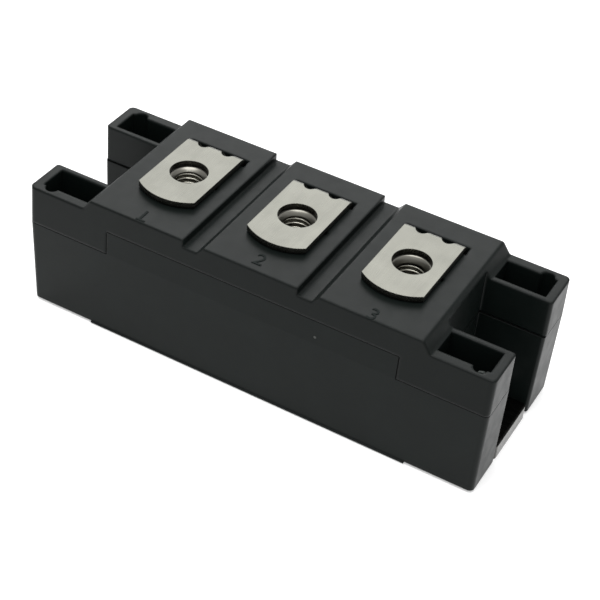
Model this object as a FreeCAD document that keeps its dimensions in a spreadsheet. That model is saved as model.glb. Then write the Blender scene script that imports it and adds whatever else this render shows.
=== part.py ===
import FreeCAD, Part
import math
import os
import re
import Sketcher

# Isolated dual-diode power module with three screw terminals.
# Millimetres and degrees. The origin is the middle of the metal base plate's underside.
# X runs along the module from terminal one to terminal three, Y towards the back, Z up.

os.makedirs("parts", exist_ok=True)
doc = FreeCAD.newDocument("diode_module")

SIZES = {
    # Housing, both mouldings together
    "housing_length": 94.0,
    "housing_width": 33.6,
    "parting_height": 18.6,
    "band_rise": 4.9,
    "band_inset": 4.5,
    "lower_draft": 0.6,
    "upper_draft": 2.5,
    "end_draft": 0.5,
    "corner_radius": 1.0,
    "column_corner_radius": 0.6,
    "side_wall": 1.9,
    "end_wall": 2.2,
    "end_lift": 0.6,
    "skirt_lift": 0.25,
    "skirt_margin": 0.5,
    "part_gap": 0.1,
    # End channels and hollow corner columns
    "channel_length": 12.8,
    "channel_width": 15.1,
    "channel_step": 0.2,
    "channel_draft": 0.8,
    "pocket_end_wall": 1.8,
    "pocket_outer_wall": 2.3,
    "pocket_inner_wall": 1.1,
    "pocket_block_wall": 1.2,
    "pocket_floor": 3.0,
    "latch_inset": 1.9,
    "latch_radius": 1.3,
    "latch_depth": 6.0,
    # Stepped top of the cover
    "cover_rise": 10.0,
    "column_drop": 2.2,
    "groove_depth": 1.5,
    "end_ramp_inset": 0.7,
    "end_ramp_run": 1.5,
    "block_gap": 4.1,
    "groove_width": 4.3,
    "groove_ramp_run": 1.3,
    "ramp_radius": 0.6,
    # Underside of the cover
    "lip_depth": 2.0,
    "lip_wall": 1.2,
    "deck_wall": 2.1,
    "tower_wall": 1.6,
    "tower_floor": 1.5,
    # Screw terminals
    "terminal_edge": 11.2,
    "terminal_lift": 0.2,
    "terminal_width": 12.0,
    "terminal_reach": 9.6,
    "terminal_inset": 1.8,
    "metal_thickness": 1.2,
    "terminal_hole": 7.2,
    "bend_inside": 0.4,
    "leg_width": 8.0,
    "leg_shoulder_drop": 6.1,
    "foot_length": 3.5,
    "relief_bore": 2.9,
    "relief_spread": 5.2,
    "leg_slot_length": 12.8,
    "leg_slot_gap": 0.15,
    "leg_slot_room": 0.9,
    # Terminal nuts in their hexagonal pockets
    "nut_flats": 10.0,
    "nut_height": 5.0,
    "nut_bore": 6.0,
    "nut_sink": 0.4,
    "nut_face_angle": 30.0,
    "nut_face_inset": 0.25,
    "nut_side_gap": 0.4,
    "nut_top_gap": 0.8,
    "screw_room_bore": 7.0,
    "screw_room_depth": 2.6,
    # Metal base plate
    "plate_end_inset": 0.3,
    "plate_end_seat": 1.0,
    "plate_side_seat": 0.3,
    "tongue_gap": 0.8,
    "plate_thickness": 3.0,
    "plate_corner_radius": 0.8,
    "mount_edge": 7.0,
    "mount_bore": 6.5,
    # Ceramic carrier, tracks, chips and the copper bridge over them
    "carrier_end_gap": 2.0,
    "carrier_side_gap": 1.9,
    "carrier_solder": 0.15,
    "backing_thickness": 0.3,
    "ceramic_thickness": 0.63,
    "copper_margin": 1.0,
    "track_thickness": 0.3,
    "track_gap": 1.0,
    "chip_side": 11.0,
    "chip_thickness": 0.3,
    "chip_solder": 0.1,
    "chip_margin": 1.5,
    "bridge_width": 8.0,
    "bridge_thickness": 0.5,
    "bridge_pad": 7.0,
    "bridge_rise": 2.0,
    # Fillings
    "gel_depth": 6.0,
    "potting_gap": 0.3,
}

PLACES = {
    "half_length": "housing_length / 2",
    "half_width": "housing_width / 2",
    "over": "housing_length",
    "block_top": "parting_height + cover_rise",
    "column_top": "block_top - column_drop",
    "groove_floor": "block_top - groove_depth",
    "ceiling_height": "groove_floor - deck_wall",
    "terminal_top": "block_top + terminal_lift + metal_thickness",
    "band_height": "parting_height + band_rise",
    "channel_end": "half_length - channel_length",
    "channel_width_above": "channel_width + 2 * channel_step",
    "band_length": "2 * (channel_end - band_inset)",
    "cavity_half_width": "half_width - side_wall",
    "cavity_half_length": "channel_end - end_wall",
    "cavity_length": "2 * cavity_half_length",
    "terminal_pitch": "channel_end - terminal_edge",
    "skirt_half_width": "half_width - (parting_height - end_lift) * tan(lower_draft * pi / 180)",
    "pocket_outer_x": "half_length - pocket_end_wall",
    "pocket_inner_x": "channel_end + pocket_block_wall",
    "pocket_outer_y": "half_width - pocket_outer_wall",
    "pocket_inner_edge": "channel_width_above / 2 + pocket_inner_wall",
    "latch_place": "pocket_outer_x - latch_inset",
    "end_ramp_head": "channel_end - end_ramp_inset",
    "groove_inner": "(terminal_pitch - block_gap) / 2",
    "groove_outer": "groove_inner + groove_width",
    "lip_half_length": "cavity_half_length - part_gap",
    "lip_half_width": "cavity_half_width - part_gap",
    "plate_length": "housing_length - 2 * plate_end_inset",
    "plate_body_length": "cavity_length + 2 * plate_end_seat",
    "plate_width": "2 * (cavity_half_width + plate_side_seat)",
    "plate_tongue_width": "channel_width - 2 * tongue_gap",
    "skirt_length": "plate_body_length + 2 * skirt_margin",
    "mount_place": "half_length - mount_edge",
    "carrier_length": "cavity_length - 2 * carrier_end_gap",
    "carrier_width": "2 * (cavity_half_width - carrier_side_gap)",
    "copper_half_length": "carrier_length / 2 - copper_margin",
    "copper_half_width": "carrier_width / 2 - copper_margin",
    "terminal_back": "copper_half_width - terminal_inset",
    "metal_underside": "terminal_top - metal_thickness",
    "leg_inside": "terminal_back - metal_thickness",
    "leg_shoulder": "block_top - leg_shoulder_drop",
    "nut_seat": "metal_underside - nut_height - nut_top_gap",
    "nut_face_radius": "nut_flats / 2 - nut_face_inset",
    "nut_pocket_flats": "nut_flats + 2 * nut_side_gap",
    "tower_flats": "nut_pocket_flats + 2 * tower_wall",
    "tower_bottom": "nut_seat - screw_room_depth - tower_floor",
    "carrier_bottom": "plate_thickness + carrier_solder",
    "ceramic_bottom": "carrier_bottom + backing_thickness",
    "track_bottom": "ceramic_bottom + ceramic_thickness",
    "track_top": "track_bottom + track_thickness",
    "chip_bottom": "track_top + chip_solder",
    "chip_top": "chip_bottom + chip_thickness",
    "track_split": "terminal_pitch / 2",
    "outer_track_middle": "(track_split + copper_half_length) / 2",
    "chip_line": "chip_margin + chip_side / 2 - copper_half_width",
    "bridge_top": "chip_top + bridge_rise",
    "gel_top": "plate_thickness + gel_depth",
    "potting_top": "parting_height - lip_depth - potting_gap",
}

sheet = doc.addObject("Spreadsheet::Sheet", "Sizes")
for row, (name, value) in enumerate(list(SIZES.items()) + list(PLACES.items()), start=1):
    sheet.set("A%d" % row, name)
    sheet.set("B%d" % row, str(value) if name in SIZES else "=" + value)
    sheet.setAlias("B%d" % row, name)
doc.recompute()

NODES = {}
SHORT_EDGE = 0.05
NEAR = 0.3
CLOSE = 0.01
RELIEF_TURN = -45


def size(name):
    """Present value of one named size."""
    return float(sheet.get(name))


def bind(target, path, formula):
    """Tie a property to a formula in which the sheet's names stand bare."""
    def cell(found):
        word = found.group()
        return "Sizes." + word if word in SIZES or word in PLACES else word
    target.setExpression(path, re.sub(r"[a-z][a-z_]*", cell, str(formula)))


def new_body(name):
    """Empty body that becomes the node of the same name."""
    body = doc.addObject("PartDesign::Body", name)
    body.Label = name
    NODES[name] = body
    return body


def new_sketch(body, name, role, level):
    """Empty sketch on one of the body's own origin planes, moved along its normal by a formula."""
    sketch = body.newObject("Sketcher::SketchObject", name)
    plane = [item for item in body.Origin.OriginFeatures if item.Role == role][0]
    sketch.AttachmentSupport = [(plane, "")]
    sketch.MapMode = "FlatFace"
    bind(sketch, "AttachmentOffset.Base.z", level)
    return sketch


def add_outline(sketch, corners):
    """Closed run of straight lines; each corner is a pair of formulas."""
    first = sketch.GeometryCount
    count = len(corners)
    turn = 2 * math.pi / count
    rough = [FreeCAD.Vector(math.cos(turn * step), math.sin(turn * step), 0) for step in range(count)]
    for step in range(count):
        sketch.addGeometry(Part.LineSegment(rough[step], rough[(step + 1) % count]), False)
    for step in range(count):
        after = first + (step + 1) % count
        sketch.addConstraint(Sketcher.Constraint("Coincident", first + step, 2, after, 1))
    for step, place in enumerate(corners):
        for kind, formula, start in zip(("DistanceX", "DistanceY"), place, rough[step]):
            number = sketch.addConstraint(Sketcher.Constraint(kind, -1, 1, first + step, 1, start))
            bind(sketch, "Constraints[%d]" % number, formula)


def add_rectangle(sketch, left, right, front, back):
    """Rectangle between four formulas."""
    add_outline(sketch, [(left, front), (right, front), (right, back), (left, back)])


def add_circle(sketch, across, along, radius):
    """Circle whose centre and radius are formulas."""
    number = sketch.addGeometry(Part.Circle(FreeCAD.Vector(1, 1, 0), FreeCAD.Vector(0, 0, 1), 1), False)
    for kind, formula in (("DistanceX", across), ("DistanceY", along)):
        place = sketch.addConstraint(Sketcher.Constraint(kind, -1, 1, number, 3, 1.0))
        bind(sketch, "Constraints[%d]" % place, formula)
    round_size = sketch.addConstraint(Sketcher.Constraint("Radius", number, 1.0))
    bind(sketch, "Constraints[%d]" % round_size, radius)


def add_hexagon(sketch, across, flats):
    """Regular hexagon with two corners along the sketch's first axis."""
    reach = "(%s) / sqrt(3)" % flats
    half = "(%s) / 2" % flats
    corners = [("%s + %s", "0"), ("%s + %s / 2", half), ("%s - %s / 2", half),
               ("%s - %s", "0"), ("%s - %s / 2", "-" + half), ("%s + %s / 2", "-" + half)]
    add_outline(sketch, [(first % (across, reach), second) for first, second in corners])


def settle(feature):
    """Compute the document and stop if this feature could not be made."""
    doc.recompute()
    if "Invalid" in feature.State or "Error" in feature.State:
        raise RuntimeError(feature.Name + " failed to compute")


def pad(body, sketch, length, reverse=False, middle=False):
    """Raise a sketch into solid material."""
    feature = body.newObject("PartDesign::Pad", sketch.Name + "_pad")
    feature.Profile = sketch
    bind(feature, "Length", length)
    feature.Reversed = reverse
    if middle:
        feature.SideType = "Symmetric"
    sketch.Visibility = False


def cut(body, sketch, length=None, reverse=False, middle=False):
    """Cut a sketch out of the body and make sure that something was removed."""
    doc.recompute()
    before = body.Shape.Volume
    feature = body.newObject("PartDesign::Pocket", sketch.Name + "_cut")
    feature.Profile = sketch
    if length is None:
        feature.Type = "ThroughAll"
    else:
        bind(feature, "Length", length)
    feature.Reversed = reverse
    if middle:
        feature.SideType = "Symmetric"
    settle(feature)
    if not body.Shape.Volume < before:
        raise RuntimeError(feature.Name + " removed nothing")


def round_edges(body, radius, chosen, name):
    """Fillet the edges of the tip that pass a test on their middle point and direction."""
    doc.recompute()
    tip = body.Tip
    names = []
    for number, edge in enumerate(tip.Shape.Edges, start=1):
        if edge.Length < SHORT_EDGE:
            continue
        middle = edge.valueAt((edge.FirstParameter + edge.LastParameter) / 2)
        way = edge.tangentAt((edge.FirstParameter + edge.LastParameter) / 2)
        if chosen(middle, way):
            names.append("Edge%d" % number)
    if not names:
        raise RuntimeError(name + " found no edge")
    feature = body.newObject("PartDesign::Fillet", name)
    feature.Base = (tip, names)
    bind(feature, "Radius", radius)
    settle(feature)


def draft_sides(body, angle, level, chosen, name, reverse=False):
    """Lean upright faces of the tip about its flat face at one level, as a mould needs."""
    doc.recompute()
    tip = body.Tip
    sides = []
    neutral = None
    for number, face in enumerate(tip.Shape.Faces, start=1):
        if not isinstance(face.Surface, Part.Plane):
            continue
        normal = face.normalAt(0, 0)
        centre = face.CenterOfMass
        if abs(normal.z) > 0.999 and near(centre.z, level, CLOSE):
            neutral = "Face%d" % number
        if abs(normal.z) < 0.001 and chosen(centre, normal):
            sides.append("Face%d" % number)
    if neutral is None or not sides:
        raise RuntimeError(name + " found no faces")
    feature = body.newObject("PartDesign::Draft", name)
    feature.Base = (tip, sides)
    feature.NeutralPlane = (tip, [neutral])
    bind(feature, "Angle", angle)
    feature.Reversed = reverse
    settle(feature)


def near(value, target, reach=NEAR):
    return abs(value - target) < reach


def upright(way):
    return abs(way.z) > 0.9


# Metal base plate: a wide body with a narrower tongue at each end for the mounting screws.
plate = new_body("base_plate")
plate_plan = new_sketch(plate, "plate_plan", "XY_Plane", "0")
long_x = "plate_length / 2"
short_x = "plate_body_length / 2"
wide_y = "plate_width / 2"
slim_y = "plate_tongue_width / 2"
add_outline(plate_plan, [
    ("-" + long_x, "-" + slim_y), ("-" + short_x, "-" + slim_y), ("-" + short_x, "-" + wide_y),
    (short_x, "-" + wide_y), (short_x, "-" + slim_y), (long_x, "-" + slim_y),
    (long_x, slim_y), (short_x, slim_y), (short_x, wide_y),
    ("-" + short_x, wide_y), ("-" + short_x, slim_y), ("-" + long_x, slim_y)])
pad(plate, plate_plan, "plate_thickness")
round_edges(plate, "plate_corner_radius", lambda middle, way: upright(way) and
            abs(middle.x) > size("plate_body_length") / 2 - NEAR and
            not (near(abs(middle.x), size("plate_body_length") / 2) and
                 near(abs(middle.y), size("plate_tongue_width") / 2)), "plate_corners")
plate_holes = new_sketch(plate, "plate_holes", "XY_Plane", "plate_thickness")
for side in ("-", ""):
    add_circle(plate_holes, side + "mount_place", "0", "mount_bore / 2")
cut(plate, plate_holes)

# Lower moulding: the walls round the chips, the hollow feet of the corner columns and the end channels.
frame = new_body("housing_frame")
frame_plan = new_sketch(frame, "frame_plan", "XY_Plane", "parting_height")
add_rectangle(frame_plan, "-half_length", "half_length", "-half_width", "half_width")
pad(frame, frame_plan, "parting_height - end_lift", reverse=True)
draft_sides(frame, "lower_draft", size("parting_height"), lambda centre, normal: True, "lower_draft_sides",
            reverse=True)
skirt_plan = new_sketch(frame, "skirt_plan", "XY_Plane", "end_lift")
add_rectangle(skirt_plan, "-skirt_length / 2", "skirt_length / 2", "-skirt_half_width", "skirt_half_width")
pad(frame, skirt_plan, "end_lift - skirt_lift", reverse=True)
band_plan = new_sketch(frame, "band_plan", "XY_Plane", "parting_height")
add_rectangle(band_plan, "-band_length / 2", "band_length / 2", "-half_width", "half_width")
pad(frame, band_plan, "band_height - parting_height")
draft_sides(frame, "upper_draft", size("parting_height"),
            lambda centre, normal: centre.z > size("parting_height") and abs(normal.y) > 0.9, "band_draft_sides")
round_edges(frame, "corner_radius", lambda middle, way: upright(way) and
            near(abs(middle.x), size("half_length"), 1) and near(abs(middle.y), size("half_width"), 1), "frame_corners")
cavity_plan = new_sketch(frame, "cavity_plan", "XY_Plane", "band_height")
add_rectangle(cavity_plan, "-cavity_half_length", "cavity_half_length",
              "-cavity_half_width", "cavity_half_width")
cut(frame, cavity_plan)
channel_plan = new_sketch(frame, "channel_plan", "XY_Plane", "parting_height")
for near_x, far_x in (("-over", "-channel_end"), ("channel_end", "over")):
    add_rectangle(channel_plan, near_x, far_x, "-channel_width / 2", "channel_width / 2")
cut(frame, channel_plan, "parting_height")
draft_sides(frame, "channel_draft", size("parting_height"), lambda centre, normal:
            abs(normal.y) > 0.9 and near(abs(centre.y), size("channel_width") / 2, CLOSE), "channel_draft_sides")
recess_plan = new_sketch(frame, "recess_plan", "XY_Plane", "0")
grown_long = "(plate_length / 2 + part_gap)"
grown_short = "(plate_body_length / 2 + part_gap)"
grown_wide = "(plate_width / 2 + part_gap)"
grown_slim = "(plate_tongue_width / 2 + part_gap)"
add_outline(recess_plan, [
    ("-" + grown_long, "-" + grown_slim), ("-" + grown_short, "-" + grown_slim),
    ("-" + grown_short, "-" + grown_wide), (grown_short, "-" + grown_wide),
    (grown_short, "-" + grown_slim), (grown_long, "-" + grown_slim),
    (grown_long, grown_slim), (grown_short, grown_slim),
    (grown_short, grown_wide), ("-" + grown_short, grown_wide),
    ("-" + grown_short, grown_slim), ("-" + grown_long, grown_slim)])
cut(frame, recess_plan, "plate_thickness", reverse=True)
frame_pockets = new_sketch(frame, "frame_pockets", "XY_Plane", "parting_height")
for near_x, far_x in (("-pocket_outer_x", "-pocket_inner_x"), ("pocket_inner_x", "pocket_outer_x")):
    for near_y, far_y in (("-pocket_outer_y", "-pocket_inner_edge"), ("pocket_inner_edge", "pocket_outer_y")):
        add_rectangle(frame_pockets, near_x, far_x, near_y, far_y)
cut(frame, frame_pockets, "parting_height - pocket_floor")
round_edges(frame, "column_corner_radius", lambda middle, way: upright(way) and
            near(abs(middle.x), size("half_length"), 1) and
            near(abs(middle.y), size("channel_width") / 2, 0.6), "frame_channel_corners")


# Cover: stepped top with three terminal blocks, drafted sides and the upper half of the hollow columns.
cover = new_body("cover")
deck_plan = new_sketch(cover, "deck_plan", "XY_Plane", "parting_height")
add_outline(deck_plan, [
    ("-half_length", "-half_width"), ("half_length", "-half_width"),
    ("half_length", "-channel_width_above / 2"), ("channel_end", "-channel_width_above / 2"),
    ("channel_end", "channel_width_above / 2"), ("half_length", "channel_width_above / 2"),
    ("half_length", "half_width"), ("-half_length", "half_width"),
    ("-half_length", "channel_width_above / 2"), ("-channel_end", "channel_width_above / 2"),
    ("-channel_end", "-channel_width_above / 2"), ("-half_length", "-channel_width_above / 2")])
pad(cover, deck_plan, "terminal_top - parting_height")
draft_sides(cover, "upper_draft", size("parting_height"), lambda centre, normal:
            near(abs(centre.y), size("half_width"), CLOSE), "long_draft_sides")
draft_sides(cover, "end_draft", size("parting_height"), lambda centre, normal: True, "end_draft_sides")
steps = new_sketch(cover, "steps", "XZ_Plane", "0")
add_outline(steps, [
    ("-over", "column_top"), ("-end_ramp_head - end_ramp_run", "column_top"),
    ("-end_ramp_head", "block_top"), ("-groove_outer", "block_top"),
    ("-groove_outer", "groove_floor"), ("-groove_inner - groove_ramp_run", "groove_floor"),
    ("-groove_inner", "block_top"), ("groove_inner", "block_top"),
    ("groove_inner", "groove_floor"), ("groove_outer - groove_ramp_run", "groove_floor"),
    ("groove_outer", "block_top"), ("end_ramp_head", "block_top"),
    ("end_ramp_head + end_ramp_run", "column_top"), ("over", "column_top"),
    ("over", "over"), ("-over", "over")])
cut(cover, steps, middle=True)


def across(way):
    return abs(way.y) > 0.95


round_edges(cover, "corner_radius", lambda middle, way: upright(way) and
            near(abs(middle.x), size("half_length"), 1) and near(abs(middle.y), size("half_width"), 1), "cover_corners")
round_edges(cover, "column_corner_radius", lambda middle, way: upright(way) and
            near(abs(middle.x), size("half_length"), 1) and
            near(abs(middle.y), size("channel_width_above") / 2, 1), "cover_channel_corners")
round_edges(cover, "ramp_radius", lambda middle, way: across(way) and
            (near(abs(middle.x), size("end_ramp_head") + size("end_ramp_run")) or
             near(abs(middle.x), size("end_ramp_head")) or
             near(middle.x, -size("groove_inner") - size("groove_ramp_run")) or
             near(middle.x, size("groove_outer") - size("groove_ramp_run"))) and
            middle.z > size("column_top") - NEAR, "ramp_curves")

lip_plan = new_sketch(cover, "lip_plan", "XY_Plane", "parting_height")
add_rectangle(lip_plan, "-lip_half_length", "lip_half_length", "-lip_half_width", "lip_half_width")
pad(cover, lip_plan, "lip_depth", reverse=True)
band_room = new_sketch(cover, "band_room", "XY_Plane", "parting_height")
band_side = "(band_length / 2 + part_gap)"
add_rectangle(band_room, "-" + band_side, band_side, "-over", "-lip_half_width")
add_rectangle(band_room, "-" + band_side, band_side, "lip_half_width", "over")
cut(cover, band_room, "band_height - parting_height", reverse=True)
ceiling = new_sketch(cover, "ceiling", "XY_Plane", "parting_height - lip_depth")
add_rectangle(ceiling, "-lip_half_length + lip_wall", "lip_half_length - lip_wall",
              "-lip_half_width + lip_wall", "lip_half_width - lip_wall")
cut(cover, ceiling, "ceiling_height - parting_height + lip_depth", reverse=True)
towers = new_sketch(cover, "towers", "XY_Plane", "tower_bottom")
for place in ("-terminal_pitch", "0", "terminal_pitch"):
    add_hexagon(towers, place, "tower_flats")
pad(cover, towers, "ceiling_height + tower_floor - tower_bottom")
column_pockets = new_sketch(cover, "column_pockets", "XY_Plane", "column_top")
latch_grooves = new_sketch(cover, "latch_grooves", "XY_Plane", "column_top")
for near_x, far_x in (("-pocket_outer_x", "-pocket_inner_x"), ("pocket_inner_x", "pocket_outer_x")):
    for near_y, far_y in (("-pocket_outer_y", "-pocket_inner_edge"), ("pocket_inner_edge", "pocket_outer_y")):
        add_rectangle(column_pockets, near_x, far_x, near_y, far_y)
for side in ("-", ""):
    for row in ("-", ""):
        add_circle(latch_grooves, side + "latch_place", row + "(pocket_outer_y - part_gap)", "latch_radius")
cut(cover, column_pockets)
cut(cover, latch_grooves, "latch_depth")
nut_pockets = new_sketch(cover, "nut_pockets", "XY_Plane", "block_top")
screw_rooms = new_sketch(cover, "screw_rooms", "XY_Plane", "nut_seat")
leg_slots = new_sketch(cover, "leg_slots", "XY_Plane", "block_top")
for place in ("-terminal_pitch", "0", "terminal_pitch"):
    add_hexagon(nut_pockets, place, "nut_pocket_flats")
    add_circle(screw_rooms, place, "0", "screw_room_bore / 2")
    add_rectangle(leg_slots, place + " - leg_slot_length / 2", place + " + leg_slot_length / 2",
                  "leg_inside - leg_slot_gap", "terminal_back + leg_slot_room")
cut(cover, nut_pockets, "block_top - nut_seat")
cut(cover, screw_rooms, "screw_room_depth")
cut(cover, leg_slots)

# Screw terminals: a folded strip with a round-nosed pad, a leg through the cover and a soldered foot.
for number, place in enumerate(("-terminal_pitch", "0", "terminal_pitch"), start=1):
    terminal = new_body("terminal_%d" % number)
    fold = new_sketch(terminal, "fold_%d" % number, "YZ_Plane", place)
    add_outline(fold, [
        ("-terminal_reach", "metal_underside"), ("leg_inside", "metal_underside"),
        ("leg_inside", "track_top + metal_thickness"), ("terminal_back - foot_length", "track_top + metal_thickness"),
        ("terminal_back - foot_length", "track_top"), ("terminal_back", "track_top"),
        ("terminal_back", "terminal_top"), ("-terminal_reach", "terminal_top")])
    pad(terminal, fold, "terminal_width", middle=True)
    round_edges(terminal, "bend_inside", lambda middle, way: abs(way.x) > 0.9 and
                near(middle.y, size("leg_inside")), "bends_inside_%d" % number)
    round_edges(terminal, "bend_inside + metal_thickness", lambda middle, way: abs(way.x) > 0.9 and
                near(middle.y, size("terminal_back")), "bends_outside_%d" % number)
    leg_trim = new_sketch(terminal, "leg_trim_%d" % number, "XZ_Plane", "0")
    for side in ("-", ""):
        slim = place + " " + (side or "+") + " leg_width / 2"
        wide = place + " " + (side or "+") + " terminal_width"
        corners = (wide, slim) if side else (slim, wide)
        add_rectangle(leg_trim, corners[0], corners[1], "0", "leg_shoulder")
    cut(terminal, leg_trim, middle=True)
    nose = new_sketch(terminal, "nose_%d" % number, "XY_Plane", "metal_underside")
    centre_x = (number - 2) * size("terminal_pitch")
    reach = size("terminal_reach")
    half = size("terminal_width") / 2
    tip_y = -math.sqrt(reach ** 2 - half ** 2)
    deep_y = -size("over")
    left_tip = FreeCAD.Vector(centre_x - half, tip_y, 0)
    right_tip = FreeCAD.Vector(centre_x + half, tip_y, 0)
    left_deep = FreeCAD.Vector(centre_x - half, deep_y, 0)
    right_deep = FreeCAD.Vector(centre_x + half, deep_y, 0)
    nose.addGeometry(Part.Arc(left_tip, FreeCAD.Vector(centre_x, -reach, 0), right_tip), False)
    nose.addGeometry(Part.LineSegment(right_tip, right_deep), False)
    nose.addGeometry(Part.LineSegment(right_deep, left_deep), False)
    nose.addGeometry(Part.LineSegment(left_deep, left_tip), False)
    for first, first_end, second, second_end in ((1, 2, 2, 1), (2, 2, 3, 1), (0, 2, 1, 1), (0, 1, 3, 2)):
        nose.addConstraint(Sketcher.Constraint("Coincident", first, first_end, second, second_end))
    for line, kind in ((1, "Vertical"), (2, "Horizontal"), (3, "Vertical")):
        nose.addConstraint(Sketcher.Constraint(kind, line))
    for kind, shape, point, value, formula in (
            ("DistanceX", 0, 3, centre_x, place), ("DistanceX", 1, 1, right_tip.x, place + " + terminal_width / 2"),
            ("DistanceX", 3, 2, left_tip.x, place + " - terminal_width / 2"),
            ("DistanceY", 2, 1, deep_y, "-over")):
        place_number = nose.addConstraint(Sketcher.Constraint(kind, -1, 1, shape, point, value))
        bind(nose, "Constraints[%d]" % place_number, formula)
    nose.addConstraint(Sketcher.Constraint("PointOnObject", 0, 3, -1))
    arc_size = nose.addConstraint(Sketcher.Constraint("Radius", 0, reach))
    bind(nose, "Constraints[%d]" % arc_size, "terminal_reach")
    cut(terminal, nose, "2 * metal_thickness", reverse=True)
    screw_hole = new_sketch(terminal, "screw_hole_%d" % number, "XY_Plane", "terminal_top")
    add_circle(screw_hole, place, "0", "terminal_hole / 2")
    cut(terminal, screw_hole, "2 * metal_thickness")
    relief = new_sketch(terminal, "relief_%d" % number, "XY_Plane", "0")
    bend_middle = "(terminal_back - bend_inside / 2 - metal_thickness / 2)"
    bend_level = "(terminal_top - bend_inside / 2 - metal_thickness / 2)"
    relief.AttachmentOffset = FreeCAD.Placement(
        FreeCAD.Vector(0, 0, 0), FreeCAD.Rotation(FreeCAD.Vector(1, 0, 0), RELIEF_TURN))
    bind(relief, "AttachmentOffset.Base.y", bend_middle)
    bind(relief, "AttachmentOffset.Base.z", bend_level)
    for side in ("-", "+"):
        add_circle(relief, "%s %s relief_spread / 2" % (place, side), "0", "relief_bore / 2")
    cut(terminal, relief, "4 * metal_thickness", middle=True)

# Nuts: hexagons with turned corners, a countersunk bore for the terminal screw at each end.
for number, place in enumerate(("-terminal_pitch", "0", "terminal_pitch"), start=1):
    nut = new_body("terminal_nut_%d" % number)
    nut_plan = new_sketch(nut, "nut_plan_%d" % number, "XY_Plane", "nut_seat")
    add_hexagon(nut_plan, place, "nut_flats")
    pad(nut, nut_plan, "nut_height")
    nut_hole = new_sketch(nut, "nut_hole_%d" % number, "XY_Plane", "nut_seat + nut_height")
    add_circle(nut_hole, place, "0", "nut_bore / 2")
    cut(nut, nut_hole)
    bored = nut.Tip
    sinks = nut.newObject("PartDesign::Chamfer", "nut_sinks_%d" % number)
    sinks.Base = (bored, ["Edge%d" % index for index, edge in enumerate(bored.Shape.Edges, start=1)
                          if isinstance(edge.Curve, Part.Circle)])
    bind(sinks, "Size", "nut_sink")
    turned = new_sketch(nut, "nut_turned_%d" % number, "XZ_Plane", "0")
    bind(turned, "AttachmentOffset.Base.x", place)
    for level, drop in (("nut_seat + nut_height", " - "), ("nut_seat", " + ")):
        add_outline(turned, [("nut_face_radius", level), ("nut_flats", level),
                             ("nut_flats", level + drop + "(nut_flats - nut_face_radius) * tan(nut_face_angle * pi / 180)")])
    corners = nut.newObject("PartDesign::Groove", "nut_corners_%d" % number)
    corners.Profile = turned
    corners.ReferenceAxis = (turned, ["V_Axis"])
    corners.Angle = 360
    turned.Visibility = False
    settle(corners)

# Ceramic carrier with its solder, backing, tracks, chips and the copper bridge.


def slab(name, left, right, front, back, bottom, thickness):
    """Flat rectangular piece as a body with one padded sketch."""
    body = new_body(name)
    plan = new_sketch(body, name + "_plan", "XY_Plane", bottom)
    add_rectangle(plan, left, right, front, back)
    pad(body, plan, thickness)


copper_x = "copper_half_length"
copper_y = "copper_half_width"
slab("carrier_solder", "-" + copper_x, copper_x, "-" + copper_y, copper_y, "plate_thickness", "carrier_solder")
slab("backing_copper", "-" + copper_x, copper_x, "-" + copper_y, copper_y, "carrier_bottom", "backing_thickness")
slab("ceramic_carrier", "-carrier_length / 2", "carrier_length / 2", "-carrier_width / 2", "carrier_width / 2",
     "ceramic_bottom", "ceramic_thickness")
slab("copper_track_1", "-" + copper_x, "-track_split - track_gap / 2", "-" + copper_y, copper_y,
     "track_bottom", "track_thickness")
slab("copper_track_2", "-track_split + track_gap / 2", "track_split - track_gap / 2", "-" + copper_y, copper_y,
     "track_bottom", "track_thickness")
slab("copper_track_3", "track_split + track_gap / 2", copper_x, "-" + copper_y, copper_y,
     "track_bottom", "track_thickness")
for number, place in enumerate(("0", "outer_track_middle"), start=1):
    left = place + " - chip_side / 2"
    right = place + " + chip_side / 2"
    front = "chip_line - chip_side / 2"
    back = "chip_line + chip_side / 2"
    slab("chip_solder_%d" % number, left, right, front, back, "track_top", "chip_solder")
    slab("diode_chip_%d" % number, left, right, front, back, "chip_bottom", "chip_thickness")

bridge = new_body("chip_bridge")
bridge_line = new_sketch(bridge, "bridge_line", "XZ_Plane", "-chip_line")
one_left = "-bridge_pad / 2"
one_right = "bridge_pad / 2"
two_left = "outer_track_middle - bridge_pad / 2"
two_right = "outer_track_middle + bridge_pad / 2"
foot_left = "-outer_track_middle - bridge_pad / 2"
foot_right = "-outer_track_middle + bridge_pad / 2"
more = " + bridge_thickness"
less = " - bridge_thickness"
add_outline(bridge_line, [
    (foot_left, "track_top"), (foot_right, "track_top"), (foot_right, "bridge_top"),
    (one_left + less, "bridge_top"), (one_left + less, "chip_top"), (one_right + more, "chip_top"), (one_right + more, "bridge_top"),
    (two_left + less, "bridge_top"), (two_left + less, "chip_top"), (two_right, "chip_top"),
    (two_right, "chip_top" + more), (two_left, "chip_top" + more), (two_left, "bridge_top" + more),
    (one_right, "bridge_top" + more), (one_right, "chip_top" + more), (one_left, "chip_top" + more),
    (one_left, "bridge_top" + more), (foot_right + less, "bridge_top" + more),
    (foot_right + less, "track_top" + more), (foot_left, "track_top" + more)])
pad(bridge, bridge_line, "bridge_width", middle=True)


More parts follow.
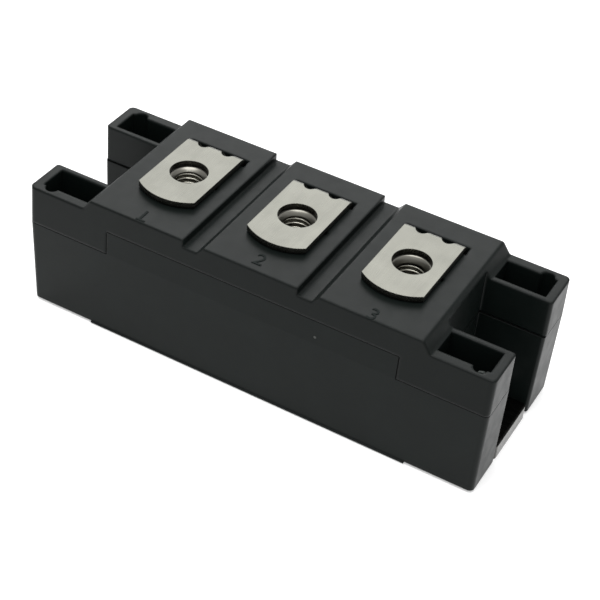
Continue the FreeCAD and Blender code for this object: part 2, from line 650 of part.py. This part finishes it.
def filling(name, bottom, top, inside):
    """Cast filling of the cavity between two levels, moulded round the pieces that stand in it."""
    block = doc.addObject("Part::Box", name + "_block")
    bind(block, "Length", "cavity_length")
    bind(block, "Width", "2 * cavity_half_width")
    bind(block, "Height", "(%s) - (%s)" % (top, bottom))
    bind(block, "Placement.Base.x", "-cavity_half_length")
    bind(block, "Placement.Base.y", "-cavity_half_width")
    bind(block, "Placement.Base.z", bottom)
    held = doc.addObject("Part::MultiFuse", name + "_held")
    held.Shapes = [NODES[piece] for piece in inside]
    cast = doc.addObject("Part::Cut", name)
    cast.Base = block
    cast.Tool = held
    cast.Label = name
    NODES[name] = cast


legs = ["terminal_1", "terminal_2", "terminal_3"]
stack = [name for name in NODES if name.startswith(("carrier", "backing", "ceramic", "copper", "chip", "diode"))]
filling("gel_fill", "plate_thickness", "gel_top", stack + legs)
filling("potting", "gel_top", "potting_top", legs)

doc.recompute()
for item in doc.Objects:
    if "Invalid" in item.State or "Error" in item.State:
        raise RuntimeError(item.Name + " failed to compute")
for name, node in NODES.items():
    if node.Shape.isNull() or not node.Shape.isValid() or not node.Shape.Solids:
        raise RuntimeError(name + " has no valid solid")
for name, node in NODES.items():
    node.Shape.exportStep("parts/%s.step" % name)
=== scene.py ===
import math

import bmesh
import bpy
from bpy.props import FloatProperty, FloatVectorProperty, IntProperty, PointerProperty
from mathutils import Matrix, Vector


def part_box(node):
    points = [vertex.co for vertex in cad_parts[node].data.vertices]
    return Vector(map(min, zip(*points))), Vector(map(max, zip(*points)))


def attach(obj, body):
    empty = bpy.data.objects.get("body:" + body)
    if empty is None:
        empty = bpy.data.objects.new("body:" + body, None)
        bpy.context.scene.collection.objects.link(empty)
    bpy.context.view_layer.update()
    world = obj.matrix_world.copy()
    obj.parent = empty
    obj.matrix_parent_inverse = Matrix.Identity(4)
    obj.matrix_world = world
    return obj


bl_info = {
    "name": "Diode module",
    "version": (1, 0, 0),
    "blender": (4, 5, 0),
    "location": "3D View > Sidebar > Diode module",
    "description": "Finishes, nut threads, moulded numbers and studio for the power diode module",
    "category": "Object",
}

# Metres throughout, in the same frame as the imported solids, with the underside of the base plate at zero.
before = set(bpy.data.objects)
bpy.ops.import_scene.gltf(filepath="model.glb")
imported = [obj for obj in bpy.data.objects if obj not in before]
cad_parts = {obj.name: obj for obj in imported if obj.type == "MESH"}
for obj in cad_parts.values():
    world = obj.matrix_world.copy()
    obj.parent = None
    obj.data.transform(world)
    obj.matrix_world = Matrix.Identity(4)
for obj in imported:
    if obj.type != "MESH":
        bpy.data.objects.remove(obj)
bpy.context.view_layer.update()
MM = 0.001
COVER_TOP = Vector(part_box("cover")[1]).z
FRAME_FRONT = Vector(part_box("housing_frame")[0]).y
TERMINALS = ("terminal_1", "terminal_2", "terminal_3")
NUTS = ("terminal_nut_1", "terminal_nut_2", "terminal_nut_3")


def centre_of(node):
    """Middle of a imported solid's box."""
    low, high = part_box(node)
    return (Vector(low) + Vector(high)) / 2


def length(name, description, default):
    """Length property in metres."""
    return FloatProperty(name=name, description=description, default=default,
                         unit="LENGTH", subtype="DISTANCE", precision=5)


def colour(name, description, default):
    """Colour property without alpha."""
    return FloatVectorProperty(name=name, description=description, default=default,
                               size=3, min=0.0, max=1.0, subtype="COLOR")


class ThreadSizes(bpy.types.PropertyGroup):
    pitch: length("Pitch", "Rise of the thread in one turn", 1.0 * MM)
    depth: length("Depth", "How far the crests stand into the bore", 0.42 * MM)
    bore_radius: length("Bore radius", "Radius of the plain bore of the nut", 3.0 * MM)
    plain_end: length("Plain end", "Plain bore left under the thread", 0.6 * MM)
    first_crest: FloatVectorProperty(
        name="First crest", description="Depth of each nut's first full crest at the back",
        default=(0.56 * MM, 0.88 * MM, 1.28 * MM), size=3, unit="LENGTH", precision=5)
    collar_radius: length("Collar radius", "Radius of the collar's mouth", 3.5 * MM)
    collar_rise: length("Collar rise", "How far the collar stands over the nut's upper face", 0.68 * MM)
    steps: IntProperty(name="Steps", description="Facets in one turn", default=48, min=12, max=96)


class NumberSizes(bpy.types.PropertyGroup):
    height: length("Height", "Height of the moulded figures", 3.0 * MM)
    relief: length("Relief", "How far the figures stand out of the cover", 0.10 * MM)
    root: length("Root", "How far the figures reach into the cover", 0.03 * MM)


class MarkSizes(bpy.types.PropertyGroup):
    gate_place: length("Gate place", "Distance of the gate mark along the module", 13.85 * MM)
    gate_height: length("Gate height", "Height of the gate mark over the underside", 20.05 * MM)
    gate_radius: length("Gate radius", "Radius of the gate mark", 0.28 * MM)
    flash_size: length("Flash size", "Size of the sliver of torn flash in the latch groove", 0.75 * MM)


class FinishColours(bpy.types.PropertyGroup):
    plastic: colour("Plastic", "Colour of both mouldings", (0.0036, 0.0054, 0.0049))
    plate: colour("Plate", "Colour of the base plate", (0.106, 0.105, 0.100))
    terminal: colour("Terminal", "Colour of the nickel plated terminals", (0.150, 0.150, 0.132))
    nut: colour("Nut", "Colour of the nuts", (0.40, 0.39, 0.34))
    turned_face: colour("Turned face", "Colour of the turned collars of the nuts", (0.19, 0.185, 0.163))
    # Painted shade: the figures are coloured darker than the cover to stand for the shade on their relief.
    figure: colour("Figure", "Colour of the moulded figures, darkened as painted shade", (0.0055, 0.0080, 0.0074))
    torn_edge: colour("Torn edge", "Colour of torn flash", (0.022, 0.026, 0.024))
    broken_gate: colour("Broken gate", "Colour of the broken gate", (0.045, 0.048, 0.045))
    copper: colour("Copper", "Colour of the bare copper", (0.78, 0.40, 0.25))
    solder: colour("Solder", "Colour of the solder", (0.60, 0.60, 0.60))
    ceramic: colour("Ceramic", "Colour of the ceramic carrier", (0.85, 0.85, 0.82))
    silicon: colour("Silicon", "Colour of the diode chips", (0.16, 0.16, 0.19))
    gel: colour("Gel", "Colour of the soft filling", (0.75, 0.78, 0.74))
    resin: colour("Resin", "Colour of the cast resin", (0.05, 0.05, 0.05))
    cover_edge: length("Cover edge", "Softening of the sharp edges of the cover", 0.75 * MM)
    frame_edge: length("Frame edge", "Softening of the sharp edges of the housing frame", 0.35 * MM)
    parting_width: length("Parting width", "Half the width of the dark line between the mouldings", 0.07 * MM)


class StudioValues(bpy.types.PropertyGroup):
    floor: colour("Floor", "Colour of the floor", (0.72, 0.72, 0.72))
    floor_glow: FloatProperty(
        name="Floor glow", description="Strength of the light shining through the floor",
        default=0.33, min=0.0)
    key_power: FloatProperty(
        name="Key power", description="Power of the light behind the module",
        default=1.98, min=0.0, unit="POWER")
    fill_power: FloatProperty(
        name="Fill power", description="Power of the light over the module",
        default=5.4, min=0.0, unit="POWER")
    sky: FloatProperty(
        name="Sky", description="Strength of the even light all round",
        default=0.8, min=0.0)
    lens: FloatProperty(
        name="Lens", description="Focal length on a 36 mm wide sensor, in millimetres",
        default=93.28, min=10.0)


def link(tree, start, end):
    """Join an output socket to an input socket."""
    tree.links.new(start, end)


def calculate(tree, operation, first, second=None):
    """Math node on sockets or plain numbers; its output socket."""
    node = tree.nodes.new("ShaderNodeMath")
    node.operation = operation
    for place, value in enumerate((first, second)):
        if value is None:
            continue
        if isinstance(value, (int, float)):
            node.inputs[place].default_value = value
        else:
            link(tree, value, node.inputs[place])
    return node.outputs[0]


def noise(tree, points, scale, detail=3.0, roughness=0.5, stretch=None):
    """Noise on object coordinates, stretched along an axis where the finish has a grain."""
    node = tree.nodes.new("ShaderNodeTexNoise")
    node.inputs["Scale"].default_value = scale
    node.inputs["Detail"].default_value = detail
    node.inputs["Roughness"].default_value = roughness
    if stretch is not None:
        mapping = tree.nodes.new("ShaderNodeMapping")
        mapping.inputs["Scale"].default_value = stretch
        link(tree, points, mapping.inputs["Vector"])
        points = mapping.outputs["Vector"]
    link(tree, points, node.inputs["Vector"])
    return node.outputs["Fac"]


def spread(tree, value, low, high, new_low, new_high):
    """Map a value from one range to another, clamped."""
    node = tree.nodes.new("ShaderNodeMapRange")
    for name, number in (("From Min", low), ("From Max", high), ("To Min", new_low), ("To Max", new_high)):
        node.inputs[name].default_value = number
    link(tree, value, node.inputs["Value"])
    return node.outputs["Result"]


def tint(tree, base, factor):
    """Base colour times a grey factor."""
    node = tree.nodes.new("ShaderNodeVectorMath")
    node.operation = "SCALE"
    node.inputs[0].default_value = base
    link(tree, factor, node.inputs["Scale"])
    return node.outputs["Vector"]


def bump(tree, height, distance, strength=1.0, normal=None):
    """Bump node; its normal socket."""
    node = tree.nodes.new("ShaderNodeBump")
    node.inputs["Strength"].default_value = strength
    node.inputs["Distance"].default_value = distance
    link(tree, height, node.inputs["Height"])
    if normal is not None:
        link(tree, normal, node.inputs["Normal"])
    return node.outputs["Normal"]


def new_finish(name):
    """Empty material: its tree, shader and object coordinates."""
    material = bpy.data.materials.new(name)
    material.use_nodes = True
    tree = material.node_tree
    shader = tree.nodes["Principled BSDF"]
    points = tree.nodes.new("ShaderNodeTexCoord").outputs["Object"]
    return material, tree, shader, points


def soft_edges(tree, radius):
    """Normal that runs round sharp edges as a small radius would."""
    node = tree.nodes.new("ShaderNodeBevel")
    node.samples = 8
    node.inputs["Radius"].default_value = radius
    return node.outputs["Normal"]


def parting_line(tree, points, width):
    """One on the joint between the mouldings, zero away from it. The joint steps up over the middle band."""
    parting = 18.6 * MM
    band_top = 23.5 * MM
    band_end = 29.7 * MM
    fade = 10.0
    core = width * 0.5
    rim = width * 1.3

    def math_of(operation, first, second=None):
        return calculate(tree, operation, first, second)

    split = tree.nodes.new("ShaderNodeSeparateXYZ")
    link(tree, points, split.inputs["Vector"])
    height = split.outputs["Z"]
    beyond = math_of("SUBTRACT", math_of("ABSOLUTE", split.outputs["X"]), band_end)
    outside = math_of("MULTIPLY", math_of("MAXIMUM", beyond, 0.0), fade)
    inside = math_of("MULTIPLY", math_of("MAXIMUM", math_of("MULTIPLY", beyond, -1.0), 0.0), fade)
    low_line = math_of("ADD", math_of("ABSOLUTE", math_of("SUBTRACT", height, parting)), inside)
    high_line = math_of("ADD", math_of("ABSOLUTE", math_of("SUBTRACT", height, band_top)), outside)
    off_middle = math_of("ABSOLUTE", math_of("SUBTRACT", height, (parting + band_top) / 2))
    past_step = math_of("MAXIMUM", math_of("SUBTRACT", off_middle, (band_top - parting) / 2), 0.0)
    step_line = math_of("ADD", math_of("ABSOLUTE", beyond), math_of("MULTIPLY", past_step, fade))
    nearest = math_of("MINIMUM", math_of("MINIMUM", low_line, high_line), step_line)
    return spread(tree, nearest, core, rim, 1.0, 0.0)


def plastic_finish(name, sizes, seed_shift, painted_side_shade, edge_radius):
    """Dull charcoal moulding: fine grain, faint flow marks, a dark joint line, and painted shade that darkens
    the long sides.
    """
    flow_scale, rub_scale, speck_scale, grain_scale = 130.0, 420.0, 1500.0, 3200.0
    side_from, side_to = 16.2 * MM, 16.4 * MM
    seam_shade, seam_depth = 0.85, 0.10 * MM
    grain_depth, grain_strength = 0.010 * MM, 0.6
    material, tree, shader, points = new_finish(name)
    mapping = tree.nodes.new("ShaderNodeMapping")
    mapping.inputs["Location"].default_value = (seed_shift, seed_shift, 0.0)
    link(tree, points, mapping.inputs["Vector"])
    moved = mapping.outputs["Vector"]
    clouds = spread(tree, noise(tree, moved, flow_scale, 4.0), 0.3, 0.7, 0.88, 1.12)
    specks = spread(tree, noise(tree, moved, speck_scale, 2.0), 0.66, 0.76, 0.0, 0.35)
    seam = parting_line(tree, points, sizes.parting_width)
    open_face = calculate(tree, "SUBTRACT", 1.0, calculate(tree, "MULTIPLY", seam, seam_shade))
    split = tree.nodes.new("ShaderNodeSeparateXYZ")
    link(tree, points, split.inputs["Vector"])
    across = calculate(tree, "ABSOLUTE", split.outputs["Y"])
    # Painted shade: the long sides are given a darker tone than the top.
    joint_and_painted_side_shade = calculate(tree, "MULTIPLY", open_face, spread(tree, across, side_from, side_to, 1.0, painted_side_shade))
    tone_and_painted_shade = calculate(tree, "MULTIPLY", calculate(tree, "ADD", clouds, specks), joint_and_painted_side_shade)
    link(tree, tint(tree, sizes.plastic, tone_and_painted_shade), shader.inputs["Base Color"])
    shader.inputs["Specular IOR Level"].default_value = 0.115
    dullness_and_painted_shade = spread(tree, noise(tree, moved, rub_scale, 3.0), 0.35, 0.65, 0.34, 0.40)
    link(tree, calculate(tree, "MAXIMUM", dullness_and_painted_shade, seam), shader.inputs["Roughness"])
    grain = noise(tree, moved, grain_scale, 2.0)
    grained = bump(tree, grain, grain_depth, grain_strength, soft_edges(tree, edge_radius))
    link(tree, bump(tree, open_face, seam_depth, 1.0, grained), shader.inputs["Normal"])
    return material


def metal_finish(name, base, rough, grain_stretch, edge_radius, axis, painted_shade_from, painted_shade_to, dullness_and_painted_shade):
    """Plated metal with a faint grain, handling marks and painted shade: a darker tone towards one end of a
    range along one axis.
    """
    mark_scale, grain_scale = 180.0, 900.0
    grain_depth, grain_strength = 0.001 * MM, 0.4
    material, tree, shader, points = new_finish(name)
    clouds = spread(tree, noise(tree, points, mark_scale, 3.0), 0.3, 0.7, 0.90, 1.06)
    split = tree.nodes.new("ShaderNodeSeparateXYZ")
    link(tree, points, split.inputs["Vector"])
    place = calculate(tree, "ABSOLUTE", split.outputs[axis])
    # Painted shade: the base colour darkens towards one end of the range along the axis, standing for shade
    # under or inside the part.
    tone_and_painted_shade = calculate(tree, "MULTIPLY", clouds, spread(tree, place, painted_shade_from, painted_shade_to, dullness_and_painted_shade, 1.0))
    link(tree, tint(tree, base, tone_and_painted_shade), shader.inputs["Base Color"])
    shader.inputs["Metallic"].default_value = 1.0
    grain = noise(tree, points, grain_scale, 3.0, 0.6, grain_stretch)
    link(tree, spread(tree, grain, 0.3, 0.7, rough - 0.04, rough + 0.05), shader.inputs["Roughness"])
    grained = bump(tree, grain, grain_depth, grain_strength, soft_edges(tree, edge_radius))
    link(tree, grained, shader.inputs["Normal"])
    return material


def plain_finish(name, base, rough, metallic=0.0, shine=0.5):
    """Even finish with a slight change of tone, for small marks and the pieces sealed inside."""
    tone_scale = 220.0
    material, tree, shader, points = new_finish(name)
    tone = spread(tree, noise(tree, points, tone_scale, 2.0), 0.3, 0.7, 0.93, 1.05)
    link(tree, tint(tree, base, tone), shader.inputs["Base Color"])
    shader.inputs["Metallic"].default_value = metallic
    shader.inputs["Roughness"].default_value = rough
    shader.inputs["Specular IOR Level"].default_value = shine
    return material


def finished_piece(name, shape, material):
    """Turn a bmesh in its final place into an object that rides on the module."""
    bmesh.ops.remove_doubles(shape, verts=shape.verts, dist=0.001 * MM)
    bmesh.ops.recalc_face_normals(shape, faces=shape.faces)
    mesh = bpy.data.meshes.new(name)
    shape.to_mesh(mesh)
    shape.free()
    mesh.materials.append(material)
    piece = bpy.data.objects.new(name, mesh)
    bpy.context.collection.objects.link(piece)
    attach(piece, "root")
    return piece


class MODULE_OT_finishes(bpy.types.Operator):
    """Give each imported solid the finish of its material"""
    bl_idname = "module.finishes"
    bl_label = "Finishes"

    def execute(self, context):
        sizes = context.scene.module_finish
        # Painted shade on the long sides: stronger on the cover than on the frame.
        upper = plastic_finish("charcoal moulding, cover", sizes, 0.0, 0.80, sizes.cover_edge)
        lower = plastic_finish("charcoal moulding, frame", sizes, 0.3, 0.97, sizes.frame_edge)
        # Painted shade: the terminals darken towards their underside and down the hole wall.
        terminal = metal_finish("nickel plate", sizes.terminal, 0.27, (1.0, 0.12, 1.0), 0.14 * MM,
                                "Z", 28.9 * MM, 29.5 * MM, 0.3)
        # Painted shade: the nuts darken towards their bottom, deep in the bore.
        nut = metal_finish("zinc plate", sizes.nut, 0.22, (1.0, 1.0, 0.3), 0.08 * MM,
                           "Z", 24.0 * MM, 27.5 * MM, 0.6)
        # Painted shade: the base plate is darkened everywhere inside the channel; only its end band keeps the
        # full tone.
        plate = metal_finish("nickel on copper, painted shade in the channel", sizes.plate, 0.26, (0.15, 1.0, 1.0), 0.1 * MM,
                             "X", 46.2 * MM, 46.6 * MM, 0.16)
        copper = plain_finish("bare copper", sizes.copper, 0.35, 1.0)
        solder = plain_finish("tin solder", sizes.solder, 0.35, 1.0)
        silicon = plain_finish("silicon", sizes.silicon, 0.15)
        finishes = {
            "carrier_solder": solder, "chip_solder_1": solder, "chip_solder_2": solder,
            "backing_copper": copper, "copper_track_1": copper, "copper_track_2": copper,
            "copper_track_3": copper, "chip_bridge": copper, "diode_chip_1": silicon, "diode_chip_2": silicon,
            "ceramic_carrier": plain_finish("white ceramic", sizes.ceramic, 0.6),
            "gel_fill": plain_finish("silicone gel", sizes.gel, 0.2),
            "potting": plain_finish("cast resin", sizes.resin, 0.5),
            "cover": upper, "housing_frame": lower, "base_plate": plate,
        }
        finishes.update({name: terminal for name in TERMINALS})
        finishes.update({name: nut for name in NUTS})
        for name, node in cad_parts.items():
            node.data.materials.clear()
            node.data.materials.append(finishes[name])
        return {"FINISHED"}


class MODULE_OT_threads(bpy.types.Operator):
    """Add the turns of the screw thread to each nut's bore, and the turned collar over it"""
    bl_idname = "module.threads"
    bl_label = "Nut threads"

    def turn(self, shape, centre, outline, turns, rise, steps):
        """Carry a closed outline of radius and height round the nut's axis, rising as it goes."""
        steps = round(steps * turns)
        corners = [shape.verts.new((centre.x + radius, centre.y, height)) for radius, height in outline]
        edges = [shape.edges.new((corners[step], corners[(step + 1) % len(corners)]))
                 for step in range(len(corners))]
        bmesh.ops.spin(shape, geom=corners + edges, cent=centre, axis=(0.0, 0.0, 1.0),
                       dvec=(0.0, 0.0, rise / steps), angle=2 * math.pi * turns, steps=steps, use_merge=False)

    def execute(self, context):
        sizes = context.scene.module_thread
        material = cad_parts[NUTS[0]].data.materials[0]
        # Painted shade: the turned collar darkens down towards the bore.
        turned_face = metal_finish("turned nut face", context.scene.module_finish.turned_face, 0.33,
                                   (1.0, 1.0, 1.0), 0.05 * MM, "Z", 27.0 * MM, 28.3 * MM, 0.6)
        overlap = 0.02 * MM
        rim = 0.2 * MM
        countersink = 0.38 * MM
        flare = 1.5
        pitch = sizes.pitch
        half_root = 0.46 * pitch
        half_crest = 0.16 * pitch
        root = sizes.bore_radius + overlap
        crest = sizes.bore_radius - sizes.depth
        mouth = sizes.collar_radius
        run_out = 0.2
        back = math.radians(116.2)
        for number, (node, crest_depth) in enumerate(zip(NUTS, sizes.first_crest), start=1):
            low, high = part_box(node)
            centre = centre_of(node)
            level = high[2] - crest_depth
            turns = (level - low[2] - sizes.plain_end) / pitch + run_out
            start = level + run_out * pitch - turns * pitch
            shape = bmesh.new()
            self.turn(shape, centre, [(root, start - half_root), (crest, start - half_crest),
                                      (crest, start + half_crest), (root, start + half_root)],
                      turns, turns * pitch, sizes.steps)
            ends = [edge for edge in shape.edges if edge.is_boundary]
            bmesh.ops.holes_fill(shape, edges=ends, sides=4)
            bmesh.ops.rotate(shape, verts=shape.verts, cent=centre,
                             matrix=Matrix.Rotation(back + 2 * math.pi * (run_out - turns), 3, "Z"))
            finished_piece("nut_thread_%d" % number, shape, material).data.shade_smooth()
            shape = bmesh.new()
            bottom = level + half_root
            top = high[2] + sizes.collar_rise
            seat = high[2] + overlap
            outline = [(mouth - (mouth - crest) * share, top - (top - bottom) * share ** flare)
                       for share in (0.0, 0.08, 0.2, 0.35, 0.5, 0.65, 0.8, 1.0)]
            outline += [(root, bottom), (root, high[2] - countersink), (mouth, seat), (mouth + rim, seat),
                        (mouth + rim, top)]
            self.turn(shape, centre, outline, 1, 0.0, sizes.steps)
            finished_piece("nut_collar_%d" % number, shape, turned_face).data.shade_smooth()
        return {"FINISHED"}


class MODULE_OT_numbers(bpy.types.Operator):
    """Raise the figures one, two and three on the terminal blocks"""
    bl_idname = "module.numbers"
    bl_label = "Moulded numbers"

    def execute(self, context):
        sizes = context.scene.module_number
        # Painted shade: a darker, low-shine colour stands for the shade on the raised figures.
        material = plain_finish("figure in painted shade", context.scene.module_finish.figure, 0.5, shine=0.05)
        places = ((-23.4 * MM, -14.4 * MM), (0.2 * MM, -13.2 * MM), (23.3 * MM, -14.9 * MM))
        for number, (across, along) in enumerate(places, start=1):
            curve = bpy.data.curves.new("figure", "FONT")
            curve.body = str(number)
            curve.extrude = 0.5
            figure = bpy.data.objects.new("figure", curve)
            context.collection.objects.link(figure)
            context.view_layer.update()
            mesh = bpy.data.meshes.new_from_object(figure)
            shape = bmesh.new()
            shape.from_mesh(mesh)
            bpy.data.objects.remove(figure)
            bpy.data.curves.remove(curve)
            bpy.data.meshes.remove(mesh)
            low = Vector([min(vertex.co[axis] for vertex in shape.verts) for axis in range(3)])
            high = Vector([max(vertex.co[axis] for vertex in shape.verts) for axis in range(3)])
            scale = sizes.height / (high.y - low.y)
            deep = sizes.relief + sizes.root
            bmesh.ops.translate(shape, verts=shape.verts, vec=-(low + high) / 2)
            bmesh.ops.scale(shape, verts=shape.verts, vec=(scale, scale, deep))
            if number == 1:
                foot_size = (0.6 * sizes.height, 0.13 * sizes.height, 0.98 * deep)
                foot_place = (0.1 * sizes.height, -0.44 * sizes.height, 0.0)
                foot = bmesh.ops.create_cube(shape, size=1.0)["verts"]
                bmesh.ops.scale(shape, verts=foot, vec=foot_size)
                bmesh.ops.translate(shape, verts=foot, vec=foot_place)
            level = COVER_TOP + sizes.relief - deep / 2
            bmesh.ops.translate(shape, verts=shape.verts, vec=(across, along, level))
            finished_piece("figure_%d" % number, shape, material)
        return {"FINISHED"}


class MODULE_OT_marks(bpy.types.Operator):
    """Add the gate mark on the long side and the sliver of flash in a latch groove"""
    bl_idname = "module.marks"
    bl_label = "Moulding marks"

    def execute(self, context):
        sizes = context.scene.module_mark
        colours = context.scene.module_finish
        torn = plain_finish("torn moulding edge", colours.torn_edge, 0.5, shine=0.15)
        gate_flatness = (1.0, 0.18, 1.0)
        gate_inset = 0.06 * MM
        flash_stretch = (1.1, 0.6, 0.7)
        flash_place = (44.0 * MM, -15.2 * MM, 25.95 * MM)
        tear = 0.12
        shape = bmesh.new()
        bmesh.ops.create_uvsphere(shape, u_segments=16, v_segments=8, radius=sizes.gate_radius)
        bmesh.ops.scale(shape, verts=shape.verts, vec=gate_flatness)
        bmesh.ops.translate(shape, verts=shape.verts,
                            vec=(sizes.gate_place, FRAME_FRONT + gate_inset, sizes.gate_height))
        fresh = plain_finish("broken gate", colours.broken_gate, 0.5, shine=0.2)
        finished_piece("gate_mark", shape, fresh).data.shade_smooth()
        shape = bmesh.new()
        bmesh.ops.create_icosphere(shape, subdivisions=2, radius=sizes.flash_size)
        for vertex in shape.verts:
            wave = math.sin(vertex.co.x * 9000.0) + math.cos(vertex.co.y * 7000.0 + vertex.co.z * 5000.0)
            vertex.co *= 1.0 + tear * wave
        bmesh.ops.scale(shape, verts=shape.verts, vec=flash_stretch)
        bmesh.ops.translate(shape, verts=shape.verts, vec=flash_place)
        finished_piece("torn_flash", shape, torn)
        return {"FINISHED"}


class MODULE_OT_studio(bpy.types.Operator):
    """Set up the pale floor, the soft lights and the camera"""
    bl_idname = "module.studio"
    bl_label = "Studio"

    def area_light(self, context, name, place, aim, size, power):
        """Square soft light turned towards a point."""
        lamp = bpy.data.lights.new(name, "AREA")
        lamp.size = size
        lamp.energy = power
        holder = bpy.data.objects.new(name, lamp)
        context.collection.objects.link(holder)
        back = (Vector(place) - Vector(aim)).normalized()
        holder.matrix_world = Matrix.Translation(place) @ back.to_track_quat("Z", "Y").to_matrix().to_4x4()

    def execute(self, context):
        values = context.scene.module_studio
        shape = bmesh.new()
        bmesh.ops.create_grid(shape, x_segments=1, y_segments=1, size=3.0)
        mesh = bpy.data.meshes.new("floor")
        shape.to_mesh(mesh)
        shape.free()
        material, _, shader, _ = new_finish("pale floor")
        shader.inputs["Base Color"].default_value = (*values.floor, 1.0)
        shader.inputs["Roughness"].default_value = 0.9
        shader.inputs["Specular IOR Level"].default_value = 0.1
        shader.inputs["Emission Color"].default_value = (1.0, 1.0, 1.0, 1.0)
        shader.inputs["Emission Strength"].default_value = values.floor_glow
        mesh.materials.append(material)
        floor = bpy.data.objects.new("floor", mesh)
        context.collection.objects.link(floor)

        middle = (0.0, 0.0, 15 * MM)
        self.area_light(context, "key light", (-0.22, 0.42, 0.40), middle, 0.50, values.key_power)
        self.area_light(context, "fill light", (0.02, -0.15, 0.75), middle, 0.60, values.fill_power)
        world = bpy.data.worlds.new("even light")
        context.scene.world = world
        world.use_nodes = True
        background = world.node_tree.nodes["Background"]
        background.inputs["Color"].default_value = (1.0, 1.0, 1.0, 1.0)
        background.inputs["Strength"].default_value = values.sky
        context.scene.view_settings.view_transform = "Standard"

        azimuth = math.radians(26.22)
        elevation = math.radians(39.81)
        roll = math.radians(5.43)
        camera_place = (100.19 * MM, -199.19 * MM, 196.29 * MM)
        back = Vector((math.sin(azimuth) * math.cos(elevation), -math.cos(azimuth) * math.cos(elevation),
                       math.sin(elevation)))
        right = Vector((math.cos(azimuth), math.sin(azimuth), 0.0))
        up = back.cross(right)
        turned_right = math.cos(roll) * right + math.sin(roll) * up
        turned_up = math.cos(roll) * up - math.sin(roll) * right
        camera = bpy.data.objects.new("camera", bpy.data.cameras.new("camera"))
        camera.data.lens = values.lens
        camera.data.sensor_width = 36.0
        camera.data.clip_start = 0.01
        context.collection.objects.link(camera)
        turn = Matrix((turned_right, turned_up, back)).transposed()
        camera.matrix_world = Matrix.Translation(camera_place) @ turn.to_4x4()
        context.scene.camera = camera
        return {"FINISHED"}


STEPS = (MODULE_OT_finishes, MODULE_OT_threads, MODULE_OT_numbers, MODULE_OT_marks, MODULE_OT_studio)


class MODULE_PT_panel(bpy.types.Panel):
    """Sidebar panel with the sizes and the steps of the module's looks"""
    bl_idname = "MODULE_PT_panel"
    bl_label = "Diode module"
    bl_space_type = "VIEW_3D"
    bl_region_type = "UI"
    bl_category = "Diode module"

    def draw(self, context):
        for group in GROUPS:
            box = self.layout.box()
            values = getattr(context.scene, group)
            for name in values.__annotations__:
                box.prop(values, name)
        for step in STEPS:
            self.layout.operator(step.bl_idname)


GROUPS = {
    "module_thread": ThreadSizes,
    "module_number": NumberSizes,
    "module_mark": MarkSizes,
    "module_finish": FinishColours,
    "module_studio": StudioValues,
}
CLASSES = (*GROUPS.values(), *STEPS, MODULE_PT_panel)


def register():
    """Register the classes and hang the property groups on the scene."""
    for item in CLASSES:
        bpy.utils.register_class(item)
    for name, group in GROUPS.items():
        setattr(bpy.types.Scene, name, PointerProperty(type=group))


def unregister():
    """Undo register."""
    for name in GROUPS:
        delattr(bpy.types.Scene, name)
    for item in reversed(CLASSES):
        bpy.utils.unregister_class(item)


def main():
    """Run every step in order."""
    register()
    bpy.ops.module.finishes()
    bpy.ops.module.threads()
    bpy.ops.module.numbers()
    bpy.ops.module.marks()
    bpy.ops.module.studio()


if __name__ == "__main__":
    main()
